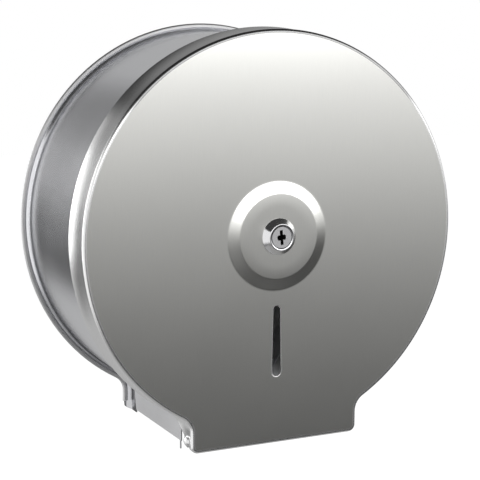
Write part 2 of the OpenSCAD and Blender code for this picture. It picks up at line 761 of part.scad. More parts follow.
back_plate();
drum_band();
left_cheek();
right_cheek();
left_tear_blade();
right_tear_blade();
left_hinge_bracket();
right_hinge_bracket();
left_hinge_spacer();
right_hinge_spacer();
left_hinge_pin();
right_hinge_pin();
spindle_foot();
spindle_tube();
lock_keeper();
front_cover();
lock_barrel();
lock_washer();
lock_nut();
lock_plug();
lock_cam();
cam_washer();
cam_screw();
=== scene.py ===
import math
import bmesh
import bpy
import numpy as np
from mathutils import Matrix, Vector
from mathutils.geometry import delaunay_2d_cdt


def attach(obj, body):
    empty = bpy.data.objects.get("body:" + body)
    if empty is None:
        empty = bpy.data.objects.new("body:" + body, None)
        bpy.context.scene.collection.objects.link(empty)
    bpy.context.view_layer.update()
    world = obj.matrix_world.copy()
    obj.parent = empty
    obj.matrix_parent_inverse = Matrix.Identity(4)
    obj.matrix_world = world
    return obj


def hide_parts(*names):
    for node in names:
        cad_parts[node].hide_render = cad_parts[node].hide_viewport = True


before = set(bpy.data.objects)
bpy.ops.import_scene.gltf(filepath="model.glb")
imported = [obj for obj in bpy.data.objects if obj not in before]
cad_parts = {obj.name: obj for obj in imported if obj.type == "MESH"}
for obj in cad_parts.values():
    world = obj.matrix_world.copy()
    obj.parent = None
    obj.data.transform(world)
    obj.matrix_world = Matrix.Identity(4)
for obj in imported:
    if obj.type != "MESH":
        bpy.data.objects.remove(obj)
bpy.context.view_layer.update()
scene = bpy.context.scene
scene.view_settings.view_transform = "Standard"


# ---- Studio -----------------------------------------------------------------------------------------
# The dispenser hangs free over a plain pale floor, as it was photographed before a white ground. A wide
# soft box in front lights the brushed face from a little above, and a second one stands behind on the
# left, where rim and hem catch it.
MM = 0.001
AZIMUTH, ELEVATION, ROLL = -25.84, 9.6, math.radians(0.17)
CAMERA_AIM, CAMERA_DISTANCE, AIM_RIGHT, AIM_DOWN = Vector((0, -50, 0)), 1000.6, 8.048, 13.929
FOCAL_PIXELS, FRAME_PIXELS, SENSOR_MM = 1419.8, 480, 36


def direction(azimuth, elevation):
    """Points away from the dispenser, by the degrees round from its front and above the horizon."""
    a, e = math.radians(azimuth), math.radians(elevation)
    return Vector((math.sin(a) * math.cos(e), -math.cos(a) * math.cos(e), math.sin(e)))


back = direction(AZIMUTH, ELEVATION)
level = (-back).cross(Vector((0, 0, 1))).normalized()
upright = level.cross(-back)
right = math.cos(ROLL) * level + math.sin(ROLL) * upright
up = -math.sin(ROLL) * level + math.cos(ROLL) * upright
eye = (CAMERA_AIM + AIM_RIGHT * right - AIM_DOWN * up + CAMERA_DISTANCE * back) * MM
camera = bpy.data.objects.new("camera", bpy.data.cameras.new("camera"))
camera.data.sensor_width = SENSOR_MM
camera.data.lens = FOCAL_PIXELS / FRAME_PIXELS * SENSOR_MM
camera.data.clip_start, camera.data.clip_end = 0.05, 50
camera.matrix_world = Matrix((
    (right.x, up.x, back.x, eye.x), (right.y, up.y, back.y, eye.y), (right.z, up.z, back.z, eye.z),
    (0, 0, 0, 1)))
scene.collection.objects.link(camera)
scene.camera = camera


def node(tree, kind, inputs=None, **settings):
    """Adds a shader node, sets its values and links what is given as a socket."""
    made = tree.nodes.new(kind)
    for key, value in settings.items():
        setattr(made, key, value)
    for key, value in (inputs or {}).items():
        if isinstance(value, bpy.types.NodeSocket):
            tree.links.new(value, made.inputs[key])
        else:
            made.inputs[key].default_value = value
    return made


def math_node(tree, operation, a, b=0.0, clamp=False):
    return node(tree, "ShaderNodeMath", {0: a, 1: b}, operation=operation, use_clamp=clamp).outputs[0]


def fade(tree, value, start, end, low=0.0, high=1.0):
    """Runs smoothly from one level to the other while the value goes from start to end."""
    return node(tree, "ShaderNodeMapRange", {"Value": value, 1: start, 2: end, 3: low, 4: high},
                interpolation_type="SMOOTHSTEP").outputs[0]


def ramp(tree, value, stops):
    """Turns a value into a colour, with stops of (position, grey or colour)."""
    made = node(tree, "ShaderNodeValToRGB", {"Fac": value})
    elements = made.color_ramp.elements
    while len(elements) < len(stops):
        elements.new(0.5)
    for element, (position, tone) in zip(elements, stops):
        element.position = position
        element.color = (*tone, 1) if isinstance(tone, tuple) else (tone, tone, tone, 1)
    return made.outputs["Color"]


def blend(tree, part, a, b):
    """Mixes two greys or colours."""
    tones = {key: value if isinstance(value, bpy.types.NodeSocket) else (value, value, value, 1)
             for key, value in ((6, a), (7, b))}
    return node(tree, "ShaderNodeMix", {0: part, **tones}, data_type="RGBA").outputs[2]


def ray_kinds(tree):
    """The rays from the camera, and the rays that the metal sends out."""
    rays = node(tree, "ShaderNodeLightPath").outputs
    from_metal = math_node(tree, "MAXIMUM", rays["Is Glossy Ray"], rays["Is Transmission Ray"])
    return rays["Is Camera Ray"], from_metal


world = bpy.data.worlds.new("studio")
scene.world = world
world.use_nodes = True
tree = world.node_tree
tree.nodes.clear()
toward = node(tree, "ShaderNodeTexCoord").outputs["Generated"]
way = node(tree, "ShaderNodeSeparateXYZ", {0: toward}).outputs

# What the metal shows of the room: white above the horizon in front and on the left, dark low down in
# front and overhead, and grey behind with three darker patches
BEHIND, ON_LEFT, OVERHEAD, BELOW, EVEN_LIGHT, BACKGROUND = 0.47, 1.0, 0.05, 0.40, 0.62, 1.0
FRONT_LEVELS = [(0.20, 0.065), (0.335, 0.07), (0.37, 0.12), (0.40, 0.24), (0.43, 0.42), (0.455, 0.82),
                (0.475, 1.0)]
# azimuth, elevation, the angles from the middle where the patch starts to fade and ends, and its strength
DARK_PATCHES = [(-157, -12, 3, 18, 0.96), (-166, 24, 2, 15, 0.65), (-158, 8, 2, 15, 0.40)]
FACE_MIRRORS = (0.438, -0.899, 0.0)


def nearness(centre):
    """1 in the direction of the centre, less to all sides."""
    made = node(tree, "ShaderNodeVectorMath", {0: toward, 1: centre}, operation="DOT_PRODUCT")
    return made.outputs["Value"]


def past(axis, start, end):
    """How far a direction has gone from start to end along one axis."""
    return fade(tree, way[axis], start, end)


# height in the room, with the horizon at 0.5 where the face mirrors it and a little lower beside it
lift = math_node(tree, "MULTIPLY_ADD", way["Z"], 0.5)
tree.links.new(fade(tree, nearness(FACE_MIRRORS), 0.95, 0.86, 0.5, 0.465), lift.node.inputs[2])
room = BEHIND
for azimuth, elevation, inner, outer, strength in DARK_PATCHES:
    patch = fade(tree, nearness(direction(azimuth, elevation)), math.cos(math.radians(outer)),
                 math.cos(math.radians(inner)), 0.0, strength)
    room = blend(tree, patch, room, 0.0)
room = blend(tree, past("Y", 0.25, -0.15), room, ramp(tree, lift, FRONT_LEVELS))
left_wall = math_node(tree, "MULTIPLY", past("X", -0.30, -0.44), past("Z", -0.75, -0.45))
left_wall = math_node(tree, "MULTIPLY", left_wall, past("Y", 0.86, 0.80))
room = blend(tree, left_wall, room, ON_LEFT)
room = blend(tree, past("Z", 0.46, 0.54), room, OVERHEAD)
room = blend(tree, past("Z", -0.64, -0.80), room, BELOW)
from_camera, from_metal = ray_kinds(tree)
seen = blend(tree, from_camera, blend(tree, from_metal, EVEN_LIGHT, room), BACKGROUND)
sky = node(tree, "ShaderNodeBackground", {"Color": seen, "Strength": 1.0})
node(tree, "ShaderNodeOutputWorld", {"Surface": sky.outputs[0]})


def soft_box(name, place, aim, size, power):
    """A rectangular lamp turned to what it aims at, in metres and watts."""
    lamp = bpy.data.objects.new(name, bpy.data.lights.new(name, "AREA"))
    lamp.data.shape = "RECTANGLE"
    lamp.data.size, lamp.data.size_y = size
    lamp.data.energy = power
    lamp.location = place
    lamp.rotation_euler = (Vector(aim) - Vector(place)).to_track_quat("-Z", "Y").to_euler()
    scene.collection.objects.link(lamp)


soft_box("front_soft_box", (0.55, -1.45, 0.36), (0.0, -0.1, 0.0), (2.4, 0.5), 6)
soft_box("left_soft_box", (-1.05, 0.78, 0.08), (0.0, -0.06, 0.0), (0.75, 0.8), 4)

# The floor is a little brightened for the camera, which leaves its shadow, and lets the metal look through
# it into the pale room
FLOOR_DROP, FLOOR_REACH, FLOOR_TONE, FLOOR_GLOW = 0.40, 4.0, 0.85, 0.48
SQUARE = [(-1, -1), (1, -1), (1, 1), (-1, 1)]
floor_mesh = bpy.data.meshes.new("floor")
floor_mesh.from_pydata([(x * FLOOR_REACH, y * FLOOR_REACH, -FLOOR_DROP) for x, y in SQUARE], [],
                       [(0, 1, 2, 3)])
floor = bpy.data.objects.new("floor", floor_mesh)
scene.collection.objects.link(floor)
pale = bpy.data.materials.new("pale_floor")
pale.use_nodes = True
tree = pale.node_tree
tree.nodes.clear()
from_camera, from_metal = ray_kinds(tree)
lit = node(tree, "ShaderNodeBsdfDiffuse", {"Color": (FLOOR_TONE, FLOOR_TONE, FLOOR_TONE, 1)})
glow = node(tree, "ShaderNodeEmission", {"Color": (1, 1, 1, 1), "Strength": FLOOR_GLOW})
bright = node(tree, "ShaderNodeAddShader", {0: lit.outputs[0], 1: glow.outputs[0]})
solid = node(tree, "ShaderNodeMixShader", {0: from_camera, 1: lit.outputs[0], 2: bright.outputs[0]})
clear = node(tree, "ShaderNodeBsdfTransparent")
surface = node(tree, "ShaderNodeMixShader", {0: from_metal, 1: solid.outputs[0], 2: clear.outputs[0]})
node(tree, "ShaderNodeOutputMaterial", {"Surface": surface.outputs[0]})
floor_mesh.materials.append(pale)


# ---- Front cover ------------------------------------------------------------------------------------
# One pressed sheet of stainless steel, 1 mm thick: a brushed disc with a square chin, its edge bent back
# into a rim, a low round boss for the lock and a narrow sight slot. It hangs on two rivets in its ears.
# All measures from here on are in mm.
COVER_R, COVER_DEPTH, SHEET = 135.0, 125.0, 1.0
BEND_R, RIM_LEN, FLARE_LEN, FLARE_OUT, RIM_ROWS = 1.8, 24.0, 16.0, 1.0, 12
CHIN_HALF_W, CHIN_DROP, WAIST_R, CHIN_CORNER_R, CHIN_LIP = 62.0, 141.3, 12.0, 5.0, 5.0
CHIN_FLAT_HALF_W, CORNER_POINTS = 50, 9
BOSS_FOOT_R, BOSS_CROWN_R, BOSS_H, BOSS_SOFT, BOSS_FLAT_R = 36.6, 28.0, 2.2, 0.12, 20.0
# height of the middle and radius of each end of the slot
SLOT_TOP, SLOT_BOTTOM = (-49.35, 2.35), (-91.8, 3.2)
SLOT_CHAMFER, SLOT_MARGIN, EDGE_MARGIN = 0.3, 0.4, 0.7
PIN_DEPTH, PIN_Y, EAR_R, EAR_FRONT = 117.6, -133.8, 4.4, 119.6
# height and depth of the rim's back edge, from the full rim on the disc down to the ear
RIM_BACK = [(-114.6, COVER_DEPTH - RIM_LEN), (-124.1, 104.4), (PIN_Y + EAR_R / 2, PIN_DEPTH - EAR_R),
            (PIN_Y, PIN_DEPTH - EAR_R)]
BARREL_R, BARREL_GAP = 9.5, 0.05
WELD_M, SHARP_DEGREES = 2e-6, 32


def half_outline(r, half_w, corner, low, counts):
    """Right half of an outline from its foot over the waist corner up to the top of the disc: x, y and the
    inward direction. counts are the points of the three stretches."""
    waist = math.acos((half_w + corner) / (r + corner))
    mid = ((r + corner) * math.cos(waist), -(r + corner) * math.sin(waist))
    rows = [(half_w, y, -1, 0) for y in np.linspace(low, mid[1], counts[0])]
    for a in np.linspace(math.pi, math.pi - waist, counts[1])[1:]:
        rows.append((mid[0] + corner * math.cos(a), mid[1] + corner * math.sin(a), math.cos(a), math.sin(a)))
    for a in np.linspace(-waist, math.pi / 2, counts[2])[1:]:
        rows.append((r * math.cos(a), r * math.sin(a), -math.cos(a), -math.sin(a)))
    return np.array(rows)


def both_halves(half):
    return np.vstack([half, half[-2::-1] * (-1, 1, -1, 1)])


def bend(mid, r, start, end, steps=8):
    """Points on an arc, with its angles in degrees."""
    return [(mid[0] + r * math.cos(math.radians(a)), mid[1] + r * math.sin(math.radians(a)))
            for a in np.linspace(start, end, steps + 1)]


def ring(r, steps=128):
    return [(r * math.cos(a), r * math.sin(a)) for a in np.linspace(0, 2 * math.pi, steps, endpoint=False)]


def alike(section, count):
    """Inward and depth arrays [station, point] of a section that stays the same at every station."""
    return [np.tile(np.array(row, float), (count, 1)) for row in zip(*section)]


def swept(path, inward, depth):
    """Points [station, point, 3] of a section carried along an outline."""
    at = path[:, None, :2] + path[:, None, 2:] * inward[:, :, None]
    return np.concatenate([at, depth[:, :, None]], axis=2)


def inside(loop, x, y):
    a, b = np.asarray(loop), np.roll(np.asarray(loop), -1, axis=0)
    crosses = (a[:, 1] > y) != (b[:, 1] > y)
    span = np.where(crosses, b[:, 1] - a[:, 1], 1.0)
    return bool((crosses & (x < a[:, 0] + (y - a[:, 1]) / span * (b[:, 0] - a[:, 0]))).sum() % 2)


class Sheet:
    """Collects the points and faces of one piece, drawn in mm as x, height and depth from the wall."""

    def __init__(self):
        self.points, self.faces, self.tags = [], [], []

    def grid(self, points, loop_u=False, loop_v=False, tag=0):
        """Faces over an array of points [u, v, 3]."""
        nu, nv = points.shape[:2]
        start = len(self.points)
        self.points += [tuple(p) for p in points.reshape(-1, 3)]
        for i in range(nu if loop_u else nu - 1):
            for j in range(nv if loop_v else nv - 1):
                a, b = i * nv + j, i * nv + (j + 1) % nv
                c, d = ((i + 1) % nu) * nv + (j + 1) % nv, ((i + 1) % nu) * nv + j
                self.faces.append([start + k for k in (a, b, c, d)])
                self.tags.append(tag)

    def cap(self, points, tag=0):
        start = len(self.points)
        self.points += [tuple(p) for p in points]
        self.faces.append(list(range(start, start + len(points))))
        self.tags.append(tag)

    def along(self, path, inward, depth):
        """Sweeps a closed section along an open outline and closes both ends."""
        points = swept(path, inward, depth)
        self.grid(points, loop_v=True)
        self.cap(points[0])
        self.cap(points[-1])

    def turned(self, profile, steps=128, closed=False):
        """Turns a profile of (radius, depth) about the axis of the drum."""
        a = np.linspace(0, 2 * math.pi, steps, endpoint=False)
        r, d = np.array(profile).T
        points = np.stack([np.outer(np.cos(a), r), np.outer(np.sin(a), r), np.tile(d, (steps, 1))], axis=2)
        self.grid(points, True, closed)

    def tube(self, rows, tag=0):
        """Joins loops that lie at different depths, given as (loop, depth)."""
        self.grid(np.array([[(x, y, depth) for x, y in loop] for loop, depth in rows]), loop_v=True, tag=tag)

    def fill(self, loops, depth, tag=0):
        """Fills the first loop, leaving out the others."""
        flat = [Vector(p) for loop in loops for p in loop]
        ends = np.cumsum([0] + [len(loop) for loop in loops])
        edges = [(a + i, a + (i + 1) % (b - a)) for a, b in zip(ends, ends[1:]) for i in range(b - a)]
        corners, _, triangles = delaunay_2d_cdt(flat, edges, [], 0, 1e-7)[:3]
        start = len(self.points)
        self.points += [(p.x, p.y, depth) for p in corners]
        for face in triangles:
            x, y = sum((corners[k] for k in face), Vector((0, 0))) / len(face)
            if inside(loops[0], x, y) and not any(inside(loop, x, y) for loop in loops[1:]):
                self.faces.append([start + k for k in face])
                self.tags.append(tag)

    def build(self, name, body, replaced, materials):
        """Makes the object: x stays, depth becomes -Y and height becomes Z."""
        mesh = bpy.data.meshes.new(name)
        mesh.from_pydata([(x * MM, -d * MM, y * MM) for x, y, d in self.points], [], self.faces)
        mesh.polygons.foreach_set("material_index", self.tags)
        work = bmesh.new()
        work.from_mesh(mesh)
        bmesh.ops.remove_doubles(work, verts=work.verts, dist=WELD_M)
        bmesh.ops.dissolve_degenerate(work, edges=work.edges, dist=WELD_M / 2)
        bmesh.ops.recalc_face_normals(work, faces=work.faces)
        work.to_mesh(mesh)
        work.free()
        return finish_piece(mesh, name, body, replaced, materials, SHARP_DEGREES)


def finish_piece(mesh, name, body, replaced, materials, sharp):
    """Shades a mesh smooth but for its sharp edges and ties it to the frame."""
    mesh.polygons.foreach_set("use_smooth", [True] * len(mesh.polygons))
    mesh.set_sharp_from_angle(angle=math.radians(sharp))
    for material in materials:
        mesh.materials.append(material)
    piece = bpy.data.objects.new(name, mesh)
    scene.collection.objects.link(piece)
    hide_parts(*replaced)
    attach(piece, body)
    return piece


def socket(group, name, kind, in_out, value=None):
    made = group.interface.new_socket(name=name, in_out=in_out, socket_type=kind)
    if value is not None:
        made.default_value = value


# Grain that a belt or a wheel leaves in steel, as long fine lines
grain = bpy.data.node_groups.new("brushed_grain", "ShaderNodeTree")
socket(grain, "Vector", "NodeSocketVector", "INPUT")
socket(grain, "Lines", "NodeSocketFloat", "OUTPUT")
entry = node(grain, "NodeGroupInput")
fine = node(grain, "ShaderNodeTexNoise", {"Vector": entry.outputs["Vector"], "Scale": 3000.0, "Detail": 3.0,
                                          "Roughness": 0.6})
node(grain, "NodeGroupOutput", {"Lines": fine.outputs["Fac"]})

# Handling marks: soft clouds where a cloth has been
wear = bpy.data.node_groups.new("handling_marks", "ShaderNodeTree")
socket(wear, "Scale", "NodeSocketFloat", "INPUT", 14.0)
socket(wear, "Clouds", "NodeSocketFloat", "OUTPUT")
entry = node(wear, "NodeGroupInput")
place = node(wear, "ShaderNodeTexCoord").outputs["Object"]
clouds = node(wear, "ShaderNodeTexNoise", {"Vector": place, "Scale": entry.outputs["Scale"], "Detail": 5.0,
                                           "Roughness": 0.55})
node(wear, "NodeGroupOutput", {"Clouds": clouds.outputs["Fac"]})


def stray(tree, value, middle, width):
    """How far a value lies from its middle, times a width."""
    return math_node(tree, "MULTIPLY", math_node(tree, "SUBTRACT", value, middle), width)


def steel(name, colour, rough, stretch=(1, 1, 1), tangent=None, anisotropic=0.0, lines=0.03, clouds=0.05,
          turned=False, bump=0.00002, waves=0.0, painted_shade=None):
    """Stainless steel. stretch squeezes the grain's coordinates and turned wraps them round the drum's
    axis; lines and clouds say how far the tone strays, bump and waves how deep the grain and the dents of
    the sheet are in metres; the last argument paints shade into the colour: two heights in metres and the
    tone that is reached between them."""
    made = bpy.data.materials.new(name)
    made.use_nodes = True
    tree = made.node_tree
    tree.nodes.clear()
    spot = place = node(tree, "ShaderNodeTexCoord").outputs["Object"]
    if turned:
        apart = node(tree, "ShaderNodeSeparateXYZ", {0: spot})
        turn = math_node(tree, "ARCTAN2", apart.outputs["Z"], apart.outputs["X"])
        place = node(tree, "ShaderNodeCombineXYZ", {
            "X": math_node(tree, "MULTIPLY", turn, COVER_R * MM), "Y": apart.outputs["Y"]}).outputs[0]
    run = node(tree, "ShaderNodeVectorMath", {0: place, 1: stretch}, operation="MULTIPLY").outputs[0]
    brushed = node(tree, "ShaderNodeGroup", {}, node_tree=grain)
    tree.links.new(run, brushed.inputs["Vector"])
    marks = node(tree, "ShaderNodeGroup", {}, node_tree=wear).outputs["Clouds"]
    tone = math_node(tree, "ADD", stray(tree, brushed.outputs["Lines"], 0.5, lines * 4),
                     stray(tree, marks, 0.5, clouds * 2))
    factor = math_node(tree, "ADD", tone, 1.0)
    # painted shade: between the two heights the colour is darkened to the given tone
    if painted_shade:
        height = node(tree, "ShaderNodeSeparateXYZ", {0: spot}).outputs["Z"]
        factor = math_node(tree, "MULTIPLY", factor, fade(tree, height, painted_shade[0], painted_shade[1], 1.0, painted_shade[2]))
    tinted = node(tree, "ShaderNodeVectorMath", {0: colour, "Scale": factor}, operation="SCALE")
    duller = math_node(tree, "ADD", rough, stray(tree, marks, 0.45, clouds * 2), clamp=True)
    relief = node(tree, "ShaderNodeBump", {"Height": brushed.outputs["Lines"], "Strength": 1.0,
                                           "Distance": bump})
    if waves:
        long_way = node(tree, "ShaderNodeVectorMath", {0: place, 1: (1, 0.25, 1)}, operation="MULTIPLY")
        swell = node(tree, "ShaderNodeTexNoise", {"Vector": long_way.outputs[0], "Scale": 45.0,
                                                  "Detail": 2.0})
        relief = node(tree, "ShaderNodeBump", {"Height": swell.outputs["Fac"], "Strength": 1.0,
                                               "Distance": waves, "Normal": relief.outputs[0]})
    shader = node(tree, "ShaderNodeBsdfPrincipled", {
        "Base Color": tinted.outputs[0], "Metallic": 1.0, "Roughness": duller, "Normal": relief.outputs[0],
        "Anisotropic": anisotropic})
    if tangent:
        lie = node(tree, "ShaderNodeTangent", {}, direction_type="RADIAL", axis=tangent)
        tree.links.new(lie.outputs[0], shader.inputs["Tangent"])
    node(tree, "ShaderNodeOutputMaterial", {"Surface": shader.outputs[0]})
    return made


face_steel = steel("brushed_face", (0.83, 0.83, 0.80), 0.29, stretch=(1, 1, 0.02), tangent="Z",
                   anisotropic=0.85, lines=0.02, clouds=0.02)
# painted shade: the rim's colour darkens to about a third towards the top of the disc
rim_steel = steel("rolled_rim", (0.86, 0.86, 0.86), 0.24, stretch=(1, 0.04, 1), lines=0.02,
                  painted_shade=(0.076, 0.094, 0.36))

# the outline runs up the right side, over the top, down the left side and back along the foot of the chin
corner_mid = (CHIN_HALF_W - CHIN_CORNER_R, CHIN_CORNER_R - CHIN_DROP)
edge = both_halves(half_outline(COVER_R, CHIN_HALF_W, WAIST_R, corner_mid[1], (10, 14, 110)))
corners = [[(side * corner_mid[0] + CHIN_CORNER_R * math.cos(a), corner_mid[1] + CHIN_CORNER_R * math.sin(a),
             -math.cos(a), -math.sin(a)) for a in np.linspace(start, start + math.pi / 2, CORNER_POINTS)]
           for side, start in ((-1, math.pi), (1, -math.pi / 2))]
flat_foot = [(x, -CHIN_DROP, 0, 1) for x in np.linspace(-CHIN_FLAT_HALF_W, CHIN_FLAT_HALF_W, 11)]
outline = np.vstack([edge, corners[0] + flat_foot + corners[1]])
on_foot = np.arange(len(outline)) >= len(edge)


def rim_back(y):
    """Depth of the rim's back edge: full on the disc, drawn in to a round ear beside the chin."""
    if y >= PIN_Y:
        return float(np.interp(-y, [-p[0] for p in RIM_BACK], [p[1] for p in RIM_BACK]))
    return PIN_DEPTH - math.sqrt(EAR_R ** 2 - (y - PIN_Y) ** 2)


back_edge = np.array([COVER_DEPTH - CHIN_LIP if low else rim_back(p[1]) for p, low in zip(outline, on_foot)])
bend_mid = (BEND_R, COVER_DEPTH - BEND_R)
outer_bend = [(BEND_R + EDGE_MARGIN, COVER_DEPTH)] + bend(bend_mid, BEND_R, 90, 180)
inner_bend = bend(bend_mid, BEND_R - SHEET, 180, 90) + [(BEND_R + EDGE_MARGIN, COVER_DEPTH - SHEET)]
rim_run = np.linspace(0, 1, RIM_ROWS + 1)[1:]
wall = bend_mid[1] - (bend_mid[1] - back_edge)[:, None] * rim_run
flare = FLARE_OUT * np.clip((COVER_DEPTH - RIM_LEN + FLARE_LEN - wall) / FLARE_LEN, 0, None) ** 2
outer_in, outer_depth = alike(outer_bend, len(outline))
inner_in, inner_depth = alike(inner_bend, len(outline))
inward = np.hstack([outer_in, -flare, (SHEET - flare)[:, ::-1], inner_in])
depth = np.hstack([outer_depth, wall, wall[:, ::-1], inner_depth])
cover = Sheet()
cover.grid(swept(outline, inward, depth), loop_u=True, tag=1)

# the round bottom of each ear, a slit's width behind the lip of the chin
ear_top = corner_mid[1]
ear_start = -math.pi - math.asin((ear_top - PIN_Y) / EAR_R)
ear_end = -math.acos((EAR_FRONT - PIN_DEPTH) / EAR_R)
tab = [(PIN_DEPTH + EAR_R * math.cos(a), PIN_Y + EAR_R * math.sin(a))
       for a in np.linspace(ear_start, ear_end, 20)] + [(EAR_FRONT, ear_top)]
for side in (-1, 1):
    sheets = [[(side * x, y, d) for d, y in tab] for x in (CHIN_HALF_W, CHIN_HALF_W - SHEET)]
    cover.grid(np.array(sheets), loop_v=True, tag=1)
    for flat in sheets:
        cover.cap(flat, tag=1)


def slot_loop(grow):
    """Outline of the sight slot, a little wider below, grown to all sides."""
    (top, r_top), (low, r_low) = SLOT_TOP, SLOT_BOTTOM
    lean = math.asin((r_low - r_top) / (top - low))
    loop = [((r_top + grow) * math.cos(a), top + (r_top + grow) * math.sin(a))
            for a in np.linspace(-lean, math.pi + lean, 17)]
    return loop + [((r_low + grow) * math.cos(a), low + (r_low + grow) * math.sin(a))
                   for a in np.linspace(math.pi + lean, 2 * math.pi - lean, 19)]


face_edge = [tuple(p) for p in outline[:, :2] + outline[:, 2:] * (BEND_R + EDGE_MARGIN)]
boss_edge = ring(BOSS_FOOT_R + EDGE_MARGIN)
cover.fill([face_edge, boss_edge, slot_loop(SLOT_CHAMFER + SLOT_MARGIN)], COVER_DEPTH)
cover.fill([face_edge, boss_edge, slot_loop(0)], COVER_DEPTH - SHEET)
slot_rows = [(SLOT_CHAMFER + SLOT_MARGIN, 0), (SLOT_CHAMFER, 0), (SLOT_CHAMFER * 0.3, SLOT_CHAMFER * 0.25),
             (0, SLOT_CHAMFER), (0, SHEET)]
cover.tube([(slot_loop(grow), COVER_DEPTH - down) for grow, down in slot_rows], tag=1)


def boss_rise(s):
    """Share of the boss's height at a share s of its slope, with a soft foot and a soft crown."""
    if s < BOSS_SOFT:
        rise = s * s / (2 * BOSS_SOFT)
    elif s < 1 - BOSS_SOFT:
        rise = s - BOSS_SOFT / 2
    else:
        rise = 1 - BOSS_SOFT - (1 - s) ** 2 / (2 * BOSS_SOFT)
    return rise / (1 - BOSS_SOFT)


slope = [(BOSS_FOOT_R + (BOSS_CROWN_R - BOSS_FOOT_R) * s, COVER_DEPTH + BOSS_H * boss_rise(s))
         for s in np.linspace(0, 1, 21)]
crown = [(r, slope[-1][1]) for r in (BOSS_FLAT_R, BARREL_R + BARREL_GAP)]
boss_front = [(BOSS_FOOT_R + EDGE_MARGIN, COVER_DEPTH)] + slope + crown
cover.turned(boss_front + [(r, d - SHEET) for r, d in reversed(boss_front)])
cover.build("cover_shell", "cover", ["front_cover"], [face_steel, rim_steel])


# ---- Drum -------------------------------------------------------------------------------------------
# A satin steel band rolled into a drum. At the back it flares out in a hollow curve and is seamed into
# the hem of the back plate; at the front a lip stiffens it. Beside the outlet only the flare goes on.
DRUM_R, DRUM_HALF_W, DRUM_WAIST_R, DRUM_SHEET = 131.0, 57.0, 16.4, 0.8
DRUM_FLARE_R, DRUM_FLARE_OUT, HEM_REACH = 6.2, 2.8, 4.1
DRUM_FRONT, FRONT_LIP, FRONT_LIP_R, LIP_GAP, CUTBACK = 121.4, 6.0, 2.0, 0.01, -92.0
DRUM_FOOT_POINTS, WAIST_POINTS, DRUM_DISC_POINTS, DRUM_ROWS = 8, 14, 120, 7
PLATE_SHEET, PLATE_DROP, PLATE_CORNER_R, PLATE_HALF_W = 1.0, 142.5, 6.0, 62.4
CHEEK_FRONT, CHEEK_DROP = 96.0, 140.6
SEAM_TOP, SEAM_BOTTOM, SEAM_GAP = 8.0, 14.0, 0.4
# painted shade: the drum's colour darkens to two thirds low down beside the outlet
drum_steel = steel("satin_drum", (0.84, 0.845, 0.87), 0.20, stretch=(0.03, 1, 1), tangent="Y",
                   anisotropic=0.2, turned=True, lines=0.05, clouds=0.06, bump=0.000004, waves=0.00015,
                   painted_shade=(-0.112, -0.122, 0.66))
drum_steel.node_tree.nodes["Principled BSDF"].inputs["Anisotropic Rotation"].default_value = 0.25

waist_angle = math.acos((DRUM_HALF_W + DRUM_WAIST_R) / (DRUM_R + DRUM_WAIST_R))
waist_y = -(DRUM_R + DRUM_WAIST_R) * math.sin(waist_angle)
drum_foot = -DRUM_R * math.sin(waist_angle)
flare_depth = math.sqrt(DRUM_FLARE_R ** 2 - (DRUM_FLARE_R - DRUM_FLARE_OUT) ** 2)
flare_front = PLATE_SHEET + DRUM_SHEET + flare_depth
flare_mid = (-DRUM_FLARE_R, flare_front)
outer_angle = -math.degrees(math.asin(flare_depth / DRUM_FLARE_R))
inner_angle = -math.degrees(math.asin((flare_depth + DRUM_SHEET) / (DRUM_FLARE_R + DRUM_SHEET)))
outer_flare = [(-HEM_REACH, PLATE_SHEET + DRUM_SHEET)] + bend(flare_mid, DRUM_FLARE_R, outer_angle, 0, 10)
inner_flare = bend(flare_mid, DRUM_FLARE_R + DRUM_SHEET, 0, inner_angle, 10) + [(-HEM_REACH, PLATE_SHEET)]


def seam_depth(y):
    """Depth of the open seam between the flared strip and the cheek."""
    return SEAM_TOP + (SEAM_BOTTOM - SEAM_TOP) * (drum_foot - y) / (drum_foot + CHEEK_DROP)


def drum_edge(y):
    """Depth of the drum's front edge, cut back towards the outlet so that the cover can swing."""
    slant = DRUM_FRONT + (CHEEK_FRONT - DRUM_FRONT) * (y - CUTBACK) / (drum_foot - CUTBACK)
    return min(slant, DRUM_FRONT - FRONT_LIP_R)


# the row where the waist meets the disc stands twice, so that the wall ends there in a straight edge
half = half_outline(DRUM_R, DRUM_HALF_W, DRUM_WAIST_R, -PLATE_DROP,
                    (DRUM_FOOT_POINTS, WAIST_POINTS, DRUM_DISC_POINTS))
leg = DRUM_FOOT_POINTS + WAIST_POINTS - 1
stations = np.insert(half, leg, half[leg - 1], axis=0)
fronts = np.array([seam_depth(p[1]) if k < leg else drum_edge(p[1]) for k, p in enumerate(stations)])
path = both_halves(stations)
fronts = np.concatenate([fronts, fronts[-2::-1]])
wall = flare_front + (fronts - flare_front)[:, None] * np.linspace(0, 1, DRUM_ROWS + 1)[1:]
outer_in, outer_depth = alike(outer_flare, len(path))
inner_in, inner_depth = alike(inner_flare, len(path))
points = swept(path, np.hstack([outer_in, 0 * wall, 0 * wall + DRUM_SHEET, inner_in]),
               np.hstack([outer_depth, wall, wall[:, ::-1], inner_depth]))
# the two legs end on the rounded corners of the back plate
x, y = points[:, :, 0], points[:, :, 1]
corner = np.clip(np.abs(x) - (PLATE_HALF_W - PLATE_CORNER_R), 0, PLATE_CORNER_R)
lowest = PLATE_CORNER_R - PLATE_DROP - np.sqrt(PLATE_CORNER_R ** 2 - corner ** 2)
drawn = waist_y + (y - waist_y) * (lowest - waist_y) / (-PLATE_DROP - waist_y)
points[:, :, 1] = np.where(y < waist_y, drawn, y)
drum = Sheet()
drum.grid(points, loop_v=True)
drum.cap(points[0])
drum.cap(points[-1])

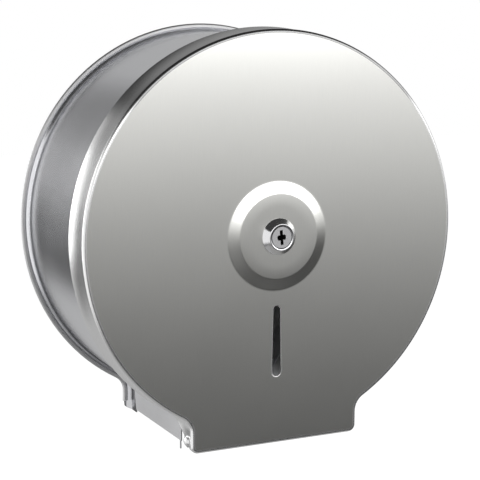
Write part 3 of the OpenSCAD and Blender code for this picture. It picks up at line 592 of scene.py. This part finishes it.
# the lip starts a hair in front of the wall, so that their end faces stay apart
lip_mid = (FRONT_LIP_R, DRUM_FRONT - FRONT_LIP_R)
lip = bend(lip_mid, FRONT_LIP_R, 180, 90) + [(FRONT_LIP, DRUM_FRONT), (FRONT_LIP, DRUM_FRONT - DRUM_SHEET)]
lip += bend(lip_mid, FRONT_LIP_R - DRUM_SHEET, 90, 180)
lip = [(in_by, max(d, lip_mid[1] + LIP_GAP)) for in_by, d in lip]
lipped = path[path[:, 1] > CUTBACK - 0.5]
drum.along(lipped, *alike(lip, len(lipped)))
drum.build("drum_shell", "base", ["drum_band"], [drum_steel])


# ---- Cheeks -----------------------------------------------------------------------------------------
# Flat sides of the paper outlet, one sheet each, welded along the drum's end. An open seam slants down
# behind them, where the flared strip of the drum ends.
CHEEK_FOOT_POINTS, CHEEK_ROWS = 10, 7
cheek_steel = steel("satin_cheek", (0.60, 0.60, 0.61), 0.42, stretch=(1, 0.03, 1), lines=0.03, clouds=0.06)
path = half_outline(DRUM_R, DRUM_HALF_W, DRUM_WAIST_R, -CHEEK_DROP, (CHEEK_FOOT_POINTS, WAIST_POINTS, 3))
path = path[:CHEEK_FOOT_POINTS + WAIST_POINTS - 1]
rear = np.array([seam_depth(p[1]) + SEAM_GAP for p in path])[:, None]
rows = rear + (CHEEK_FRONT - rear) * np.linspace(0, 1, CHEEK_ROWS)
for side, name in ((-1, "left_cheek"), (1, "right_cheek")):
    cheek = Sheet()
    cheek.along(path * (side, 1, side, 1), np.hstack([0 * rows, 0 * rows + DRUM_SHEET]),
                np.hstack([rows, rows[:, ::-1]]))
    cheek.build(name + "_sheet", "base", [name], [cheek_steel])


# ---- Back plate, blades, hinge and spindle ----------------------------------------------------------
# Pressed, turned and bent pieces whose CAD form is the real one, taken over with a finish of their own
# and, all but the back plate, with their edges eased. The domed rivets of the hinge are turned here.
# position across the dispenser and radius of the right rivet: upset tail, shank, and the foot of the head
RIVET_PROFILE = [(53.8, 0), (53.8, 2.35), (53.95, 2.55), (54.85, 3.15), (55.0, 3.1), (55.0, 2.0), (62.1, 2.0),
                 (62.1, 3.74), (62.15, 3.8)]
DOME_MID, DOME_R, DOME_ANGLE = 59.92, 4.38, math.radians(60.1)
plate_steel = steel("hemmed_plate", (0.62, 0.62, 0.625), 0.48, stretch=(1, 1, 0.03), lines=0.03, clouds=0.08)
inner_steel = steel("mill_steel", (0.52, 0.52, 0.52), 0.42, stretch=(1, 1, 0.05), lines=0.05, clouds=0.12)
blade_steel = steel("blade_steel", (0.50, 0.50, 0.51), 0.36, stretch=(0.03, 1, 1), lines=0.04, clouds=0.08)
rivet_steel = steel("rivet_steel", (0.80, 0.80, 0.80), 0.30, lines=0.0, clouds=0.03, bump=0.000002)
zinc = steel("zinc_plate", (0.60, 0.60, 0.57), 0.38, lines=0.02, clouds=0.16)
chrome = steel("lock_chrome", (0.78, 0.78, 0.79), 0.09, lines=0.005, clouds=0.02)


def cloudy(name, scale, dark, light, rough):
    """A dull material whose colour drifts between two tones."""
    made = bpy.data.materials.new(name)
    made.use_nodes = True
    tree = made.node_tree
    shader = tree.nodes["Principled BSDF"]
    marks = node(tree, "ShaderNodeGroup", {"Scale": scale}, node_tree=wear)
    tone = ramp(tree, marks.outputs["Clouds"], [(0.3, dark), (0.7, light)])
    tree.links.new(tone, shader.inputs["Base Color"])
    shader.inputs["Roughness"].default_value = rough
    return made


nylon = cloudy("nylon", 120.0, (0.70, 0.70, 0.67), (0.80, 0.80, 0.77), 0.5)


def eased(name, cad, body, material, width, sharp=30):
    """Takes over a CAD piece: welds its mesh, joins its flat faces and eases its edges by a width in mm."""
    mesh = bpy.data.meshes.new(name)
    work = bmesh.new()
    work.from_mesh(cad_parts[cad].data)
    bmesh.ops.remove_doubles(work, verts=work.verts, dist=1e-6)
    bmesh.ops.dissolve_limit(work, angle_limit=math.radians(0.4), verts=work.verts, edges=work.edges)
    work.to_mesh(mesh)
    work.free()
    piece = finish_piece(mesh, name, body, [cad], [material], sharp)
    if width:
        soft = piece.modifiers.new("eased", "BEVEL")
        soft.width, soft.segments, soft.limit_method = width * MM, 2, "ANGLE"
        soft.angle_limit = math.radians(sharp)


eased("back_plate_sheet", "back_plate", "base", plate_steel, 0)
for hand, side in ((-1, "left"), (1, "right")):
    eased(side + "_blade_strip", side + "_tear_blade", "base", blade_steel, 0.12)
    eased(side + "_bracket_arm", side + "_hinge_bracket", "base", inner_steel, 0.15)
    eased(side + "_spacer_ring", side + "_hinge_spacer", "base", nylon, 0.2)
    dome = [(DOME_MID + DOME_R * math.cos(a), DOME_R * math.sin(a)) for a in np.linspace(DOME_ANGLE, 0, 12)]
    rivet = Sheet()
    rivet.grid(np.array([[(hand * x, PIN_Y + r * y, PIN_DEPTH + r * z) for x, r in RIVET_PROFILE + dome]
                         for y, z in ring(1, 48)]), loop_u=True)
    rivet.build(side + "_rivet", "base", [side + "_hinge_pin"], [rivet_steel])
eased("spindle_flange", "spindle_foot", "base", inner_steel, 0.3)
eased("spindle_sleeve", "spindle_tube", "base", inner_steel, 0.2)
eased("spindle_keeper", "lock_keeper", "base", inner_steel, 0.15)


# ---- Lock -------------------------------------------------------------------------------------------
# A cam lock: a chromed die-cast barrel with a conical bezel, held in the boss by a hexagon nut, and a
# turning plug with the keyway. The cam on its tail passes the slot of the spindle's end plate while the
# lock is open, and is caught behind the plate once the key has turned it.
BORE_R, BEZEL_BACK, BARREL_BACK, SEAT_DEPTH = 7.5, 127.2, 107.2, 118.0
THREAD_DEEP, THREAD_HALF_PITCH, THREAD_ROWS, BARREL_FLATS, BEZEL_BASE = 0.28, 0.5, 41, 8.3, 8
PLUG_R, PLUG_FACE, PLUG_STEP, PLUG_HEAD_R = 7.4, 131.5, 3, 7.18
KEYWAY_W, KEYWAY_H, WING_W, WING_H, KEYWAY_LEAN = 2.1, 9.4, 6.2, 3.15, math.radians(5)
KEYWAY_CHAMFER, KEYWAY_DEEP = 0.25, 12
TAIL_R, TAIL_SCREW_R, TAIL_HALF_W, TAIL_END = 4.9, 2.1, 3.5, 104.2
# radius and depth of the bezel, from the bore over the cone to the seat on the boss
BEZEL_CONE = [(BORE_R, 131.25), (7.7, 131.58), (8.1, 131.75), (8.75, 131.8), (9.05, 131.7), (9.3, 131.4),
              (9.5, 131.0), (11.6, 128.15), (11.95, 127.85), (12.2, 127.6), (12.25, 127.4), (12.25, 127.25),
              (12.1, BEZEL_BACK), (9.0, BEZEL_BACK)]
base_depth = COVER_DEPTH + BOSS_H - BEZEL_BASE
bezel = Sheet()
bezel.turned([(BORE_R, base_depth)] + BEZEL_CONE + [(9.0, base_depth)], 96, closed=True)
# the threaded shank has two flats, and its back is bored for the plug
barrel = []
for k in range(THREAD_ROWS):
    r = BARREL_R - (THREAD_DEEP if k % 2 else 0.0)
    flatted = [(max(-BARREL_FLATS, min(BARREL_FLATS, x)), y) for x, y in ring(r, 64)]
    barrel.append((flatted, BEZEL_BACK - k * THREAD_HALF_PITCH))
bezel.tube(barrel + [(ring(BORE_R, 64), BARREL_BACK), (ring(BORE_R, 64), SEAT_DEPTH)])
bezel.build("lock_bezel", "cover", ["lock_barrel"], [chrome])

plug_chrome = steel("plug_chrome", (0.60, 0.60, 0.61), 0.42, lines=0.01, clouds=0.03)
# painted shade: the keyway's walls and bottom get a near-black material for the shade deep in the slit
keyway_painted_shade = cloudy("keyway_painted_shade", 300.0, (0.010, 0.009, 0.008), (0.022, 0.020, 0.018), 0.6)


def keyway(grow):
    """Outline of the keyway, a tall slit with wings, grown to all sides."""
    w, h = KEYWAY_W / 2 + grow, KEYWAY_H / 2 + grow
    wing, rise = WING_W / 2 + grow, WING_H / 2 + grow
    turn_x, turn_y = math.cos(KEYWAY_LEAN), math.sin(KEYWAY_LEAN)
    half = [(w, -h), (w, -rise), (wing * 0.75, -rise), (wing, -rise * 0.5), (wing, rise * 0.5),
            (wing * 0.75, rise), (w, rise), (w, h)]
    loop = half + [(-x, y) for x, y in reversed(half)]
    return [(x * turn_x - y * turn_y, x * turn_y + y * turn_x) for x, y in loop]


plug = Sheet()
plug.fill([ring(PLUG_R - 0.35, 64), keyway(KEYWAY_CHAMFER)], PLUG_FACE)
plug.tube([(keyway(KEYWAY_CHAMFER), PLUG_FACE), (keyway(0.0), PLUG_FACE - KEYWAY_CHAMFER)])
# the keyway's walls and bottom take the near-black painted-shade material
plug.tube([(keyway(0), PLUG_FACE - KEYWAY_CHAMFER), (keyway(0), PLUG_FACE - KEYWAY_DEEP)], tag=1)
plug.fill([keyway(0)], PLUG_FACE - KEYWAY_DEEP, tag=1)
plug.turned([(PLUG_R - 0.35, PLUG_FACE), (PLUG_R - 0.28, PLUG_FACE - 0.1), (PLUG_HEAD_R, PLUG_FACE - 0.35),
             (PLUG_HEAD_R, PLUG_FACE - PLUG_STEP), (PLUG_R, PLUG_FACE - PLUG_STEP), (PLUG_R, BARREL_BACK),
             (TAIL_R, BARREL_BACK), (TAIL_SCREW_R, BARREL_BACK)], 64)
tail = [(x * TAIL_HALF_W, y * TAIL_HALF_W) for x, y in SQUARE]
plug.tube([(tail, BARREL_BACK), (tail, TAIL_END)])
plug.cap([(x, y, TAIL_END) for x, y in tail])
plug.build("lock_plug_core", "lock", ["lock_plug"], [plug_chrome, keyway_painted_shade])

for name, cad, body, width in (
        ("lock_washer_ring", "lock_washer", "cover", 0.12), ("lock_hex_nut", "lock_nut", "cover", 0.3),
        ("lock_cam_tongue", "lock_cam", "lock", 0.2), ("cam_washer_ring", "cam_washer", "lock", 0.1),
        ("cam_screw_head", "cam_screw", "lock", 0.15)):
    eased(name, cad, body, zinc, width)
